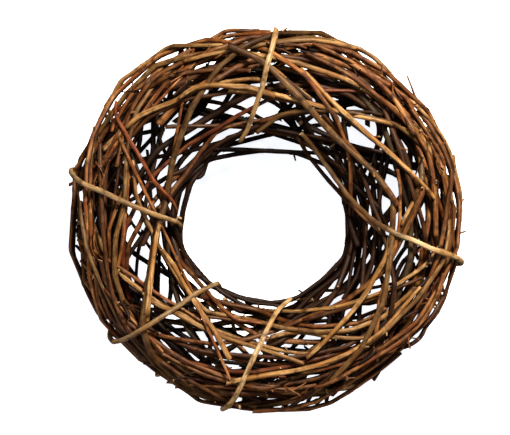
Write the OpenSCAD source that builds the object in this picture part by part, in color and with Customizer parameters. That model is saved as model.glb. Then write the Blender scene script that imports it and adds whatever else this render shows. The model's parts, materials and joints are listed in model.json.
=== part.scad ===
// Willow wreath frame: rods wound round a ring, over and under each other, and held by slanting ties.
// The ring lies on its back with its axis along Z. The origin is on the table, under the ring's middle.
//
// A route is a list of stops, [ring angle, tube angle] or [ring angle, tube angle, depth].
//   ring angle: degrees round the wreath, counted from +X towards +Y.
//   tube angle: degrees round the bundle: 0 is its outer edge, 90 its top, 180 its inner edge.
//   depth: millimetres from the bundle's outline in to the rod's centre line; below 0 the rod stands proud.
// Every rod starts out along its own route, which may run through others. Then all rods make room for each
// other step by step: rods that cross move apart in and out, rods side by side also move apart sideways.
// The ties and the shoot come last, and lie on top of the rods.

/* [Ring] */
// Radius of the ring line, which runs through the middle of the bundle
ring_r = 104; // [95:0.5:120]
// How far the ring line is out of round: longer along X, shorter along Y
ring_oval = 2; // [0:0.5:5]
// Mean radius of the bundle, from the ring line to its outline
bundle_r = 42.5; // [40:0.5:46]
// How much larger the bundle's radius is on its fat side, and smaller on the other
bundle_swell = 2.5; // [0:0.5:4]
// Ring angle of the fat side
swell_angle = 75; // [0:5:355]

/* [Rods] */
// Thickness of the rods, as a share of what the lists say
rod_scale = 1; // [0.8:0.05:1.05]
// Free space kept between two rods
rod_gap = 0.6; // [0.4:0.1:0.8]
// Flat sides round a rod
rod_sides = 6; // [4:1:6]

/* [Hidden] */
UMBER = "#4f3320";
SIENNA = "#8a5425";
OCHRE = "#ad7737";
RUSSET = "#7a3320";
GREY = "#76654c";
STRAW = "#c9a262";

// Each rod: [name, colour, diameter where the route starts, diameter where it ends, depth, route]
RODS = [
    // Core: thick old rods deep in the bundle
    ["core_rod_1", UMBER, 6.4, 4.2, 18, [[0, 20], [60, 70], [120, 130], [180, 80], [240, 30], [300, 60]]],
    ["core_rod_2", UMBER, 4.4, 6.2, 17, [[130, -10], [190, -60], [250, -120], [310, -60], [370, -10],
        [430, -40]]],
    ["core_rod_3", UMBER, 6.0, 4.0, 15, [[50, 175], [110, 230], [170, 185], [230, 140], [290, 180],
        [340, 230]]],
    ["core_rod_4", GREY, 4.2, 6.0, 14, [[250, -40], [310, 20], [370, -30], [430, -80], [490, -20],
        [520, 10]]],
    // Back: rods that show mostly from behind
    ["back_rod_1", SIENNA, 5.6, 3.6, 6, [[10, 350], [45, 300], [80, 240], [110, 200], [150, 180],
        [190, 210], [230, 260], [260, 310]]],
    ["back_rod_2", OCHRE, 3.4, 5.4, 6, [[70, 200], [100, 250], [135, 310], [165, 345], [200, 320],
        [235, 260], [265, 210], [300, 190]]],
    ["back_rod_3", SIENNA, 5.4, 3.4, 5, [[150, 350], [185, 290], [215, 230], [245, 195], [280, 215],
        [315, 270], [345, 322], [375, 332]]],
    ["back_rod_4", RUSSET, 3.2, 4.8, 5, [[240, 345], [270, 300], [300, 240], [330, 200], [365, 195],
        [400, 240], [430, 290], [460, 340]]],
    ["back_rod_5", UMBER, 5.8, 3.8, 4, [[300, 212], [335, 240], [365, 290], [395, 340], [430, 330],
        [465, 270], [495, 215], [520, 190]]],
    ["back_rod_6", OCHRE, 3.4, 5.0, 4, [[180, 205], [230, 250], [280, 225], [330, 205], [390, 235]]],
    ["back_rod_7", SIENNA, 5.2, 3.2, 4, [[90, 300], [140, 320], [180, 300], [230, 325], [280, 300]]],
    // Inner edge
    ["inner_rod_1", UMBER, 5.6, 3.6, 6, [[215, 150], [180, 168], [155, 168], [140, 184, 3],
        [118, 178, 6], [100, 190], [70, 225], [45, 270]]],
    ["inner_rod_2", SIENNA, 3.6, 5.2, 6, [[140, 90], [125, 122], [105, 144], [85, 157], [65, 154],
        [45, 163], [20, 172], [0, 185], [-25, 215], [-50, 255], [-70, 290]]],
    ["inner_rod_3", UMBER, 4.2, 3.2, 5, [[165, 150], [150, 168], [118, 184, 3], [104, 184, -3],
        [90, 184, -6], [74, 184, -4], [58, 180, 2], [40, 168], [20, 145], [5, 120]]],
    ["inner_rod_4", UMBER, 5.4, 3.6, 5, [[85, 250], [65, 215], [40, 190], [20, 181, 3], [-10, 180, 3],
        [-30, 157], [-50, 138], [-75, 118], [-95, 95]]],
    ["inner_rod_5", UMBER, 3.6, 5.6, 5, [[360, 240], [335, 205], [300, 184, 2], [270, 182],
        [240, 186, 1], [220, 178], [195, 165], [175, 145], [160, 120]]],
    ["inner_rod_6", SIENNA, 3.4, 5.0, 5, [[325, 70], [310, 95], [295, 115], [275, 144], [262, 170],
        [248, 170], [238, 148], [220, 132]]],
    ["inner_rod_7", SIENNA, 5.2, 3.6, 7, [[300, 85], [270, 112], [252, 130], [238, 145], [225, 156],
        [208, 148], [190, 132], [172, 105], [158, 80]]],
    ["inner_rod_8", UMBER, 5.0, 3.2, 5, [[195, 105], [180, 122], [165, 139], [150, 157], [135, 155],
        [120, 144], [105, 146], [90, 138], [70, 119], [55, 95], [42, 70]]],
    // Middle band
    ["middle_rod_1", GREY, 5.8, 4.0, 9, [[90, 20], [75, 45], [50, 65], [40, 77], [20, 90], [0, 87],
        [-20, 78], [-45, 60], [-65, 30], [-80, -10]]],
    ["middle_rod_2", RUSSET, 4.8, 3.2, 6, [[215, 40], [200, 75], [180, 95], [165, 108], [150, 119],
        [128, 131], [115, 132], [100, 122], [80, 100], [60, 75], [45, 45]]],
    ["middle_rod_3", SIENNA, 3.4, 4.8, 7, [[230, 20], [215, 50], [205, 62], [197, 76], [190, 93],
        [183, 109], [172, 124], [158, 145], [142, 175], [128, 215], [112, 260]]],
    ["middle_rod_4", GREY, 4.6, 3.2, 7, [[275, 35], [258, 60], [240, 81], [232, 99], [225, 112],
        [212, 128], [198, 150], [182, 185], [166, 230], [150, 275]]],
    ["middle_rod_5", SIENNA, 3.4, 5.0, 5, [[150, 60], [135, 72], [120, 84], [105, 93], [85, 107],
        [70, 106], [60, 98], [47, 99], [35, 94], [25, 86], [15, 72], [5, 58], [-10, 35], [-25, 0],
        [-40, -45], [-55, -90]]],
    ["middle_rod_6", OCHRE, 4.8, 3.2, 5, [[55, -10], [42, 20], [30, 40], [18, 60], [8, 78], [0, 96],
        [-10, 105], [-25, 112], [-38, 112], [-60, 97], [-75, 85], [-92, 62], [-108, 30], [-122, -15],
        [-138, -65]]],
    ["middle_rod_7", OCHRE, 3.2, 4.8, 5, [[315, 45], [300, 65], [285, 84], [275, 97], [265, 107],
        [250, 111], [240, 110], [230, 106], [210, 86], [197, 70], [182, 42], [168, 5], [152, -40],
        [138, -90]]],
    ["middle_rod_8", SIENNA, 5.0, 3.4, 4, [[350, 30], [335, 53], [313, 71], [300, 78], [285, 84],
        [270, 90], [258, 89], [240, 77], [228, 65], [210, 40], [195, 5], [180, -40], [165, -90]]],
    ["middle_rod_9", RUSSET, 3.2, 4.6, 4, [[345, 20], [330, 45], [308, 62], [300, 68], [290, 77],
        [275, 77], [255, 65], [240, 52], [222, 25], [205, -15], [190, -60], [175, -110]]],
    ["middle_rod_10", SIENNA, 4.8, 3.4, 4, [[375, 70], [355, 90], [335, 106], [323, 115], [310, 121],
        [298, 129], [280, 127], [262, 110], [245, 92], [228, 65], [210, 30], [195, -10]]],
    ["middle_rod_11", OCHRE, 3.2, 4.6, 4, [[390, -30], [375, 10], [355, 40], [340, 67], [332, 88],
        [326, 99], [318, 110], [305, 125], [290, 142], [270, 165], [252, 205], [235, 255], [220, 300]]],
    ["middle_rod_12", OCHRE, 4.6, 3.2, 4, [[338, 60], [320, 75], [304, 95], [290, 113], [280, 118],
        [270, 130], [262, 138], [250, 132], [238, 125], [220, 133], [205, 134], [185, 120], [168, 98],
        [156, 80]]],
    ["middle_rod_13", UMBER, 3.4, 4.8, 4, [[95, 60], [75, 95], [52, 118], [40, 126], [25, 130],
        [12, 132], [0, 122], [-15, 105], [-35, 75], [-55, 40], [-75, 0]]],
    ["middle_rod_14", OCHRE, 4.4, 3.0, 4, [[98, 150], [80, 120], [65, 105], [48, 87], [38, 72],
        [28, 55], [18, 40], [5, 18], [-10, -25], [-25, -75], [-42, -125], [-60, -170]]],
    ["middle_rod_15", SIENNA, 5.0, 3.4, 5, [[128, 60], [110, 58], [95, 57], [80, 56], [62, 50],
        [45, 62], [30, 76], [15, 84], [0, 70], [-20, 48], [-40, 25], [-60, -10]]],
    ["middle_rod_16", UMBER, 4.6, 3.2, 10, [[95, 100], [72, 82], [52, 74], [30, 64], [12, 76],
        [-8, 64], [-30, 78], [-52, 86], [-72, 72], [-95, 55], [-120, 30]]],
    // Outer band
    ["outer_rod_1", SIENNA, 5.4, 3.6, 6, [[265, -25], [250, 15], [235, 30], [217, 46], [207, 56],
        [195, 64], [180, 62], [168, 58], [158, 47], [140, 44], [120, 39], [105, 30], [92, 8],
        [78, -35], [62, -85], [48, -135]]],
    ["outer_rod_2", SIENNA, 3.4, 5.2, 4, [[205, -20], [195, 20], [180, 35], [155, 57], [147, 62],
        [130, 52], [118, 47], [100, 40], [85, 28], [70, 0], [55, -45], [40, -95]]],
    ["outer_rod_3", OCHRE, 5.0, 3.4, 4, [[250, 5], [240, 37], [225, 51], [210, 60], [194, 74],
        [172, 91], [162, 86], [148, 68], [135, 50], [120, 25], [106, -15], [92, -65], [78, -115]]],
    ["outer_rod_4", SIENNA, 5.6, 3.8, 6, [[140, 85], [125, 78], [110, 70], [88, 54], [70, 41],
        [55, 37], [40, 33], [33, 42], [17, 57], [0, 63], [-20, 57], [-40, 48], [-60, 25], [-75, -15],
        [-92, -65], [-110, -115]]],
    ["outer_rod_5", OCHRE, 3.6, 5.2, 4, [[130, 5], [120, 35], [105, 50], [88, 60], [68, 65], [50, 62],
        [35, 55], [22, 42], [5, 22], [-12, -15], [-28, -60], [-45, -110]]],
    ["outer_rod_6", SIENNA, 5.0, 3.6, 2, [[115, 85], [100, 60], [80, 40], [65, 26], [53, 21], [40, 20],
        [32, 8], [22, 2, 1], [12, 6], [0, 24], [-20, 38], [-40, 50], [-60, 60], [-80, 72]]],
    ["outer_rod_7", SIENNA, 3.4, 5.0, 4, [[95, -50], [80, -10], [60, 15], [48, 28], [30, 40], [10, 36],
        [-5, 31], [-20, 10], [-35, -35], [-50, -85], [-65, -135]]],
    ["outer_rod_8", OCHRE, 5.2, 3.6, 3, [[405, -70], [388, -25], [368, 0], [358, 10], [345, 27],
        [330, 34], [315, 34], [300, 20], [285, -15], [268, -60], [252, -110], [238, -155]]],
    ["outer_rod_9", SIENNA, 3.6, 5.4, 3, [[370, 42], [352, 28], [337, 2, 2], [328, 14], [313, 47],
        [300, 57], [275, 52], [262, 58], [240, 62], [225, 60], [210, 48], [192, 22], [175, -20],
        [160, -65], [145, -115]]],
    ["outer_rod_10", SIENNA, 5.0, 3.4, 4, [[400, 10], [375, 31], [360, 41], [345, 54], [333, 52],
        [320, 40], [305, 22], [292, -10], [278, -55], [264, -105]]],
    ["outer_rod_11", OCHRE, 3.4, 4.8, 4, [[365, 35], [343, 52], [322, 66], [310, 65], [285, 60],
        [268, 48], [250, 25], [234, -15], [218, -60], [204, -105]]],
    ["outer_rod_12", SIENNA, 4.8, 3.4, 5, [[345, 70], [330, 55], [312, 38], [300, 28], [289, 2, 1],
        [280, 18], [258, 26], [240, 36], [220, 48], [200, 62], [180, 75], [160, 90]]],
    ["outer_rod_13", OCHRE, 3.4, 5.0, 3, [[330, -50], [315, -10], [300, 15], [288, 21], [273, 47],
        [258, 34], [240, 49], [218, 47], [200, 15], [186, -20], [170, -65], [155, -115]]],
    ["outer_rod_14", SIENNA, 5.0, 3.4, 3, [[270, 45], [240, 31], [230, 21], [220, 28], [210, 12],
        [198, 4], [189, 0, -1], [178, 4, 1], [155, 25], [135, 40], [115, 58], [95, 75]]],
    ["outer_rod_15", SIENNA, 3.6, 5.2, 3, [[155, 48], [132, 36], [120, 28], [107, 12], [98, 2, 1],
        [85, 22], [70, 35], [50, 45], [30, 60]]],
    ["outer_rod_16", SIENNA, 5.2, 3.4, 2, [[245, -35], [222, 5], [205, 24], [195, 41], [180, 48],
        [165, 39], [155, 24], [145, 6, 1], [136, 3, -2], [120, 2, -3], [112, 16, 1], [105, 30],
        [92, 52], [79, 73], [65, 93], [48, 112], [30, 135], [10, 160], [-20, 190]]],
    ["outer_rod_17", OCHRE, 5.6, 3.8, 2, [[190, -60], [175, -15], [155, 8], [140, 22], [120, 33],
        [110, 47], [100, 54], [90, 50], [80, 38], [70, 14], [62, 0], [48, -40], [34, -90], [20, -140]]],
    // Bright rods on top
    ["top_rod_1", OCHRE, 6.6, 4.2, 2, [[262, 0], [250, 20], [235, 40], [220, 61], [213, 85], [207, 97],
        [198, 112], [188, 122], [168, 134], [155, 128], [145, 122], [137, 112], [130, 102], [123, 93],
        [114, 80], [100, 60], [85, 35], [70, 5], [55, -40]]],
    ["top_rod_2", OCHRE, 5.2, 3.4, 2, [[104, 50], [93, 67], [80, 90], [70, 106], [60, 115], [45, 122],
        [30, 119], [10, 103], [-15, 103], [-35, 90], [-50, 73], [-65, 55], [-82, 25], [-100, 5],
        [-112, 20], [-120, 35], [-147, 48], [-170, 48], [-190, 30]]],
];

// The shoot and the ties, in the same form. Their depth only counts where no rod is under them.
TIES = [
    ["red_shoot", RUSSET, 3.4, 2.8, 3, [[142, 34], [145, 45], [148, 60], [151, 77], [153, 90],
        [158, 106], [163, 119], [168, 132], [174, 143]]],
    ["tie_top", STRAW, 3.8, 3.2, 3, [[87, 41], [88, 59], [90, 77], [92, 96], [95, 112], [98, 126],
        [102, 140], [108, 152]]],
    ["tie_left", STRAW, 3.8, 3.2, 3, [[162, -80], [164, -30], [166, 0], [168, 31], [170, 65],
        [172, 84], [175, 106], [178, 122], [181, 144], [184, 166], [188, 200]]],
    ["tie_low_left", STRAW, 3.6, 3.2, 3, [[212, -60], [214, -10], [218, 15], [220, 41], [221, 65],
        [223, 90], [225, 115], [227, 139], [231, 170], [238, 205]]],
    ["tie_bottom", STRAW, 3.8, 3.2, 3, [[257, 12], [258, 22], [260, 41], [262, 65], [264, 84], [266, 96],
        [269, 112], [274, 131], [280, 149], [287, 166]]],
    ["tie_right", STRAW, 4.0, 3.2, 3, [[345, -60], [347, -10], [349, 31], [350, 65], [352, 84], [354, 102],
        [357, 116], [361, 130], [369, 144], [379, 155], [391, 162], [404, 160], [417, 151], [428, 139]]],
];

// Columns of the two lists above
NAME = 0;
COLOUR = 1;
START = 2;
END = 3;
DEPTH = 4;
ROUTE = 5;

// Two neighbouring points of a rod are one station, so many degrees round the ring, apart
station = 6;
stations = 360 / station;

// Rounds of making room, [ease, passes]: the ease is how strongly the rods are straightened meanwhile
ROUNDS = [[1, 10], [0.7, 12], [0.4, 12], [0.15, 12], [0, 14]];
// Rods side by side are watched when they are this near: degrees round the bundle, and millimetres in depth
nearby_turn = 12;
nearby_depth = 10;
// Share of a bend that is taken out, and share of the way back to the route, in one pass at full ease
straighten = 0.3;
return_home = 0.04;
// Share of the room that is missing by which a rod moves in one pass: sideways, and in or out
slide = 0.3;
lift = 0.5;

// Distance between two points of a tie, and how many points ahead and behind it is kept up by a rod
tie_step = 7;
tie_look = 1;

// Fields of a rod on its way: number of its first station, tube angles, radii and half-thicknesses
FIRST = 0;
TUBES = 1;
RADII = 2;
HALVES = 3;

// Fields of a meeting: the other rod, the station of that rod, the share of the way to the next station,
// the room that the two need, whether they cross, and the cosine of the slant to the ring
OTHER = 0;
BESIDE = 1;
SHARE = 2;
ROOM = 3;
CROSSES = 4;
SLANT = 5;

function mix(a, b, t) = a + (b - a) * t;
function between(values, n, t) = mix(values[n], values[n + 1], t);
function wrap(angle) = angle - 360 * round(angle / 360);
function on_ring(n) = n - stations * floor(n / stations);
function unit(v) = v / norm(v);
function total(values) = values * [for (v = values) 1];
function mean(values) = total(values) / len(values);
function window(values, i, reach) =
    [for (k = [max(i - reach, 0):min(i + reach, len(values) - 1)]) values[k]];

// Length of an arc of so many degrees
function arc(radius, angle) = radius * angle * PI / 180;

// The ring line, the bundle's outline round it, and the point at a tube angle and a radius from that line
function ring_line(a) = ring_r + ring_oval * cos(2 * a);
function outline(a) = bundle_r + bundle_swell * cos(a - swell_angle);
function outward(a, tube) = [cos(a) * cos(tube), sin(a) * cos(tube), sin(tube)];
function place(a, tube, r) = ring_line(a) * [cos(a), sin(a), 0] + r * outward(a, tube);

// Angle between a rod that turns so many degrees round the bundle in one station, and the ring's direction
function slant(tube, turn, r) = atan(arc(r, turn) / arc(ring_r + r * cos(tube), station));

// Stops with their depth filled in
function stops(rod) = [for (s = rod[ROUTE]) [s[0], s[1], is_undef(s[2]) ? rod[DEPTH] : s[2]]];

// Column c of the stops at ring angle a, with the corners at the stops rounded off
function along(stops, a, c) =
    let (table = [for (s = stops) [s[0], s[c]]], near = station / 2)
    mean([lookup(a - near, table), lookup(a, table), lookup(a + near, table)]);

// A rod as its route says, before it makes room for the others
function bare_rod(rod) =
    let (
        stops = stops(rod),
        ends = [stops[0][0] / station, stops[len(stops) - 1][0] / station],
        first = ceil(min(ends)),
        last = floor(max(ends))
    )
    [
        first,
        [for (k = [first:last]) along(stops, k * station, 1)],
        [for (k = [first:last]) outline(k * station) - along(stops, k * station, 2)],
        [
            for (k = [first:last])
                rod_scale / 2 * mix(rod[START], rod[END], (k - ends[0]) / (ends[1] - ends[0]))
        ]
    ];

// How rod i and rod j meet between the stations n and n + 1 of rod i: a list of one meeting or none
function meeting(rods, i, j, n) =
    let (one = rods[i], other = rods[j], m = on_ring(one[FIRST] + n - other[FIRST]))
    m >= len(other[TUBES]) - 1 || abs(one[RADII][n] - other[RADII][m]) > nearby_depth ? [] :
    let (
        turn = one[TUBES][n + 1] - one[TUBES][n],
        off = wrap(one[TUBES][n] - other[TUBES][m]),
        next_off = off + turn - other[TUBES][m + 1] + other[TUBES][m],
        crosses = off * next_off <= 0
    )
    !crosses && min(abs(off), abs(next_off)) > nearby_turn ? [] :
    let (
        share = crosses && off != next_off ? off / (off - next_off) : abs(off) < abs(next_off) ? 0 : 1,
        room = one[HALVES][n] + other[HALVES][m] + rod_gap
    )
    [[j, m, share, room, crosses, cos(slant(one[TUBES][n], turn, one[RADII][n]))]];

// The meetings of every rod, between every two of its stations
function meetings(rods) = [
    for (i = [0:len(rods) - 1]) [
        for (n = [0:len(rods[i][TUBES]) - 2]) [
            for (j = [0:len(rods) - 1])
                if (j != i)
                    each meeting(rods, i, j, n)
        ]
    ]
];

// The side on which a rod is of another one; at the same depth the later one in the list is outside
function side(out, i, j) = out == 0 ? sign(i - j) : sign(out);

// The push [degrees round the tube, millimetres outward] that rod i gets at a meeting
function push(rods, i, n, meet) =
    let (
        share = meet[SHARE],
        r = between(rods[i][RADII], n, share),
        out = r - between(rods[meet[OTHER]][RADII], meet[BESIDE], share)
    )
    abs(out) >= meet[ROOM] ? [0, 0] :
    meet[CROSSES] ? [0, lift * (side(out, i, meet[OTHER]) * meet[ROOM] - out)] :
    let (
        apart = between(rods[i][TUBES], n, share) - between(rods[meet[OTHER]][TUBES], meet[BESIDE], share),
        degree = arc(r, 1) * meet[SLANT],
        across = wrap(apart) * degree,
        room = meet[ROOM]
    )
    norm([out, across]) >= room ? [0, 0] :
    [
        slide * (sign(across) * sqrt(room * room - out * out) - across) / degree,
        lift / 2 * (side(out, i, meet[OTHER]) * sqrt(room * room - across * across) - out)
    ];

// What a list of pushes comes to: the strongest one way and the strongest the other way
function net(pushes, c) = max([0, for (p = pushes) p[c]]) + min([0, for (p = pushes) p[c]]);

// The pushes that rod i gets between two of its stations: [on the first station, on the second] for each
function pushes(rods, i, n, meets) = [
    for (meet = meets)
        let (p = push(rods, i, n, meet), far = meet[SHARE], near = 1 - far)
        if (p[1] != 0)
            [near * p, far * p] / (near * near + far * far)
];

// The move [degrees round the tube, millimetres outward] of every station of rod i
function moves(rods, i, meets) =
    let (last = len(meets), spans = [for (n = [0:last - 1]) pushes(rods, i, n, meets[n])])
    [
        for (n = [0:last])
            let (here = concat(
                n > 0 ? [for (p = spans[n - 1]) p[1]] : [],
                n < last ? [for (p = spans[n]) p[0]] : []
            ))
            [net(here, 0), net(here, 1)]
    ];

// The step towards a straighter line and back to the route, for stray value n of a list
function easing(strays, n, home, ease) =
    let (beside = (strays[max(n - 1, 0)] + strays[min(n + 1, len(strays) - 1)]) / 2)
    ease * (straighten * (beside - strays[n]) + return_home * (home - strays[n]));

// One pass: all rods after they have moved away from each other and eased
function eased(rods, meets, ease) = [
    for (i = [0:len(rods) - 1])
        let (
            rod = rods[i],
            last = len(rod[TUBES]) - 1,
            moves = moves(rods, i, meets[i]),
            strays = rod[TUBES] - bare[i][TUBES]
        )
        [
            rod[FIRST],
            [for (n = [0:last]) rod[TUBES][n] + moves[n][0] + easing(strays, n, 0, ease)],
            [
                for (n = [0:last])
                    rod[RADII][n] + moves[n][1] + easing(rod[RADII], n, bare[i][RADII][n], ease)
            ],
            rod[HALVES]
        ]
];

function settled(rods, meets, ease, passes) =
    passes == 0 ? rods : settled(eased(rods, meets, ease), meets, ease, passes - 1);

// All rounds, each with a new look at which rods meet
function rounds(rods, round = 0) =
    round == len(ROUNDS) ? rods :
    rounds(settled(rods, meetings(rods), ROUNDS[round][0], ROUNDS[round][1]), round + 1);

// Radius at which a tie of this half-thickness clears every laid rod
function over_rods(a, tube, depth, half) = max([
    outline(a) - depth,
    for (rod = laid)
        let (spot = on_ring(a / station - rod[FIRST]), n = floor(spot), t = spot - n)
        if (n < len(rod[TUBES]) - 1)
            let (
                r = between(rod[RADII], n, t),
                beside = between(rod[TUBES], n, t),
                lean = slant(beside, rod[TUBES][n + 1] - rod[TUBES][n], r),
                miss = max(arc(r, abs(wrap(tube - beside))) * cos(lean) - tie_step / 2, 0),
                room = half + rod[HALVES][n] + rod_gap
            )
            if (miss < room)
                r + sqrt(room * room - miss * miss)
]);

// Points [ring angle, tube angle, depth] along a tie's route, tie_step apart
function tie_points(stops) = [
    for (i = [0:len(stops) - 2])
        let (
            from = stops[i],
            to = stops[i + 1],
            length = norm(place(to[0], to[1], bundle_r) - place(from[0], from[1], bundle_r)),
            steps = max(round(length / tie_step), 1)
        )
        for (s = [0:steps - (i < len(stops) - 2 ? 1 : 0)])
            mix(from, to, s / steps)
];

// The line of a tie: [centre, outward direction, half-thickness] at each of its points
function tie_line(tie) =
    let (
        points = tie_points(stops(tie)),
        last = len(points) - 1,
        halves = [for (i = [0:last]) rod_scale / 2 * mix(tie[START], tie[END], i / last)],
        clear = [for (i = [0:last]) over_rods(points[i][0], points[i][1], points[i][2], halves[i])],
        crests = [for (i = [0:last]) max(window(clear, i, tie_look))],
        radii = [for (i = [0:last]) mean(window(crests, i, tie_look))]
    )
    [
        for (i = [0:last])
            let (a = points[i][0], tube = points[i][1])
            [place(a, tube, radii[i]), outward(a, tube), halves[i]]
    ];

// The line of a laid rod, in the same form
function rod_line(rod) = [
    for (n = [0:len(rod[TUBES]) - 1])
        let (a = (rod[FIRST] + n) * station, tube = rod[TUBES][n])
        [place(a, tube, rod[RADII][n]), outward(a, tube), rod[HALVES][n]]
];

// Corners of the rod's cross-section at point i of its line
function section(line, i) =
    let (
        ahead = unit(line[min(i + 1, len(line) - 1)][0] - line[max(i - 1, 0)][0]),
        beside = unit(cross(ahead, line[i][1])),
        up = cross(beside, ahead)
    )
    [
        for (s = [0:rod_sides - 1])
            let (turn = 360 * s / rod_sides)
            line[i][0] + line[i][2] * (cos(turn) * up + sin(turn) * beside)
    ];

// The solid rod along a line
module swept(line) {
    last = len(line) - 1;
    points = [for (i = [0:last]) each section(line, i)];
    start = [for (s = [0:rod_sides - 1]) s];
    end = [for (s = [rod_sides - 1:-1:0]) last * rod_sides + s];
    walls = [
        for (i = [0:last - 1], s = [0:rod_sides - 1])
            let (
                here = i * rod_sides + s,
                beside = i * rod_sides + (s + 1) % rod_sides
            )
            each [
                [here, here + rod_sides, beside],
                [beside, here + rod_sides, beside + rod_sides]
            ]
    ];
    polyhedron(points = points, faces = concat([start, end], walls));
}

NODES = [for (rod = concat(RODS, TIES)) rod[NAME]];
COLOURS = [for (rod = concat(RODS, TIES)) rod[COLOUR]];

// The rods on their routes, the rods when they have made room, and the lines of all rods and ties
bare = [for (rod = RODS) bare_rod(rod)];
laid = rounds(bare);
lines = concat([for (rod = laid) rod_line(rod)], [for (tie = TIES) tie_line(tie)]);

// Lowest and highest corner coordinates of the whole wreath, which put the origin under its middle
corners = [for (line = lines, i = [0:len(line) - 1]) each section(line, i)];
low = [for (axis = [0:2]) min([for (c = corners) c[axis]])];
high = [for (axis = [0:2]) max([for (c = corners) c[axis]])];

// Rod or tie number i, in its place
module rod(i) {
    color(COLOURS[i])
        translate([-(low[0] + high[0]) / 2, -(low[1] + high[1]) / 2, -low[2]])
            swept(lines[i]);
}

for (i = [0:len(NODES) - 1])
    rod(i);
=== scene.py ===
"""Willow wreath frame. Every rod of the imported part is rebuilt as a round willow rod: a smooth tapering line
with nodes, buds, small kinks, bark and cut ends. Thinner shoots are laid between the rods. Lengths are in
metres, in the part's own frame."""

import json
import math

import bpy
import numpy as np
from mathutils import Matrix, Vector

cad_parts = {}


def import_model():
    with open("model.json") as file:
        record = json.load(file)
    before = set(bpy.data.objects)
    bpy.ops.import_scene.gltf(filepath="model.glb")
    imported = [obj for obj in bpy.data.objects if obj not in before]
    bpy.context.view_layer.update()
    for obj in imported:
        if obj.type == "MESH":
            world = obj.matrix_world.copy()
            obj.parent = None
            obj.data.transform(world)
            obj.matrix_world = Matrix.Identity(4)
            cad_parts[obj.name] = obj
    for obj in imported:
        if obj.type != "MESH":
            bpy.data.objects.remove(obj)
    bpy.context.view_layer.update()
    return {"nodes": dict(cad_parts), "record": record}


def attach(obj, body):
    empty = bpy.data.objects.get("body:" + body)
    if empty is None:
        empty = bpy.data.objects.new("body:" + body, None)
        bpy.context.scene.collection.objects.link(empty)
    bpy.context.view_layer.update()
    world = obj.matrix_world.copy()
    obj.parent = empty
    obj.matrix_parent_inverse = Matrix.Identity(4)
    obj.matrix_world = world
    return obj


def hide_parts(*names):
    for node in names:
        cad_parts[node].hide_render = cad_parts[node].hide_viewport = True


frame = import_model()

MM = 0.001
SEED = 20261

# The ring that the rods lie round
RING_CENTRE = np.array([0.0, -0.2 * MM, 48.0 * MM])
RING_RADIUS = 104 * MM
BUNDLE_RADIUS = 42.5 * MM

# Sides of the CAD rods, and of the rods, shoots and short twigs made here
CAD_SIDES = 6
SIDES = 14
SHOOT_SIDES = 10
STUB_SIDES = 8

# Distance between the points of a rod's line
STEP = 2.0 * MM

# Thickness as a share of the CAD rod's
ROD_THICKNESS = (0.76, 0.95)
TIE_THICKNESS = 1.1

# How straight a rod runs between its nodes, 0 to 1
ROD_STRAIGHTNESS = 0.8
TIE_STRAIGHTNESS = 0.3
SHOOT_STRAIGHTNESS = 0.4
TWIG_STRAIGHTNESS = 0.7

# Shortest and longest distance between nodes
ROD_NODES = (18 * MM, 46 * MM)
TIE_NODES = (30 * MM, 60 * MM)
SHOOT_NODES = (20 * MM, 42 * MM)
TWIG_NODES = (7 * MM, 12 * MM)

# How far a rod bends out of line at a node
ROD_KINK = 0.9 * MM
TIE_KINK = 0.5 * MM
SHOOT_KINK = 0.3 * MM
TWIG_KINK = 0.5 * MM

# Relief of the bark's surface, as shares of the rod's radius, and how far along the rod each shape changes
LUMPS = 0.035
OVAL = 0.04
RIDGES = 0.02
LUMP_SPACING = 9 * MM
OVAL_SPACING = 60 * MM
RIDGE_SPACING = 40 * MM

# Swelling of a node and of its bud as shares of the radius, their lengths and the dark mark's along the rod,
# the bud's width in radians, how far after its node it sits, and the turn from one bud to the next
NODE_SWELLING = 0.10
NODE_LENGTH = 1.7 * MM
MARK_LENGTH = 0.8 * MM
BUD_SWELLING = 0.34
BUD_LENGTH = 1.3 * MM
BUD_WIDTH = 0.55
BUD_AFTER = 1.5 * MM
BUD_TURN = 2.4

# How far a cut end slants, and the share of its radius that is bare wood
CUT_SLANT = (0.1, 0.6)
WOOD_SHARE = 0.86

# Radii that a rod's line stays above the floor, which leaves room for its buds
FLOOR_ROOM = 1.3

# How dark the bark gets, 0 to 1: with painted shade where it is turned inwards, and with age on the oldest
# rods and on the oldest pale shoots
PAINTED_INWARD_SHADE = 0.85
OLDEST = 0.85
OLDEST_PALE = 0.5

# Painted shade: how deep in the bundle the bark starts to be dark and is all dark, and how dark the bundle's
# inner wall is
DARK_STARTS = 2 * MM
DARK_OVER = 0.45 * BUNDLE_RADIUS
INNER_WALL_SHADE = 0.8


# --- Lines of the rods, from the CAD meshes ---

def welded(mesh):
    """Different points of a mesh, and its polygons as lists of indices into them."""
    raw = np.empty(len(mesh.vertices) * 3, np.float32)
    mesh.vertices.foreach_get("co", raw)
    points, index = np.unique(np.round(raw.reshape(-1, 3).astype(float), 7), axis=0, return_inverse=True)
    index = index.reshape(-1)
    polygons = [[int(index[v]) for v in p.vertices] for p in mesh.polygons]
    return points, [p for p in polygons if len(set(p)) > 2]


def normal_of(points, polygon):
    """Unit normal of a polygon's first three corners."""
    a, b, c = (points[i] for i in polygon[:3])
    n = np.cross(b - a, c - a)
    return n / max(np.linalg.norm(n), 1e-18)


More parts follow.
